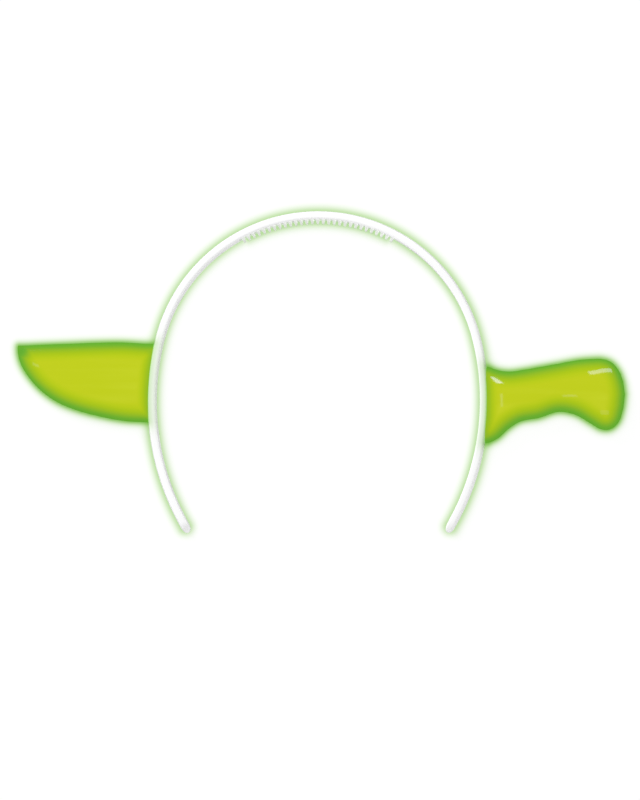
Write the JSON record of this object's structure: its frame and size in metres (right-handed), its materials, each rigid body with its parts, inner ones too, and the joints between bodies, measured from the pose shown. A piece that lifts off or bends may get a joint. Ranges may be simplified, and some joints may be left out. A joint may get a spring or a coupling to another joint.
{
  "type": "light-up knife headband",
  "caption": "White comb headband with a hollow translucent green costume knife that seems to pass through the head, blade on one side and handle on the other.",
  "frame": {"origin": "on the surface it lies on, under the middle of its footprint", "axes": "+X towards the handle's side, +Y towards the crown of the band, +Z from the surface up to the band's front edge"},
  "size_m": [0.249, 0.132, 0.0141],
  "materials": {
    "white_plastic": "smooth injection-moulded white plastic with a soft gloss",
    "lit_green_plastic": "glossy translucent yellow-green plastic, lit from inside, with a deeper green rim"
  },
  "bodies": {
    "root": {"headband": "white_plastic", "blade_shell": "lit_green_plastic", "handle_shell": "lit_green_plastic", "blade_post": "white_plastic", "handle_post": "white_plastic"}
  },
  "joints": []
}
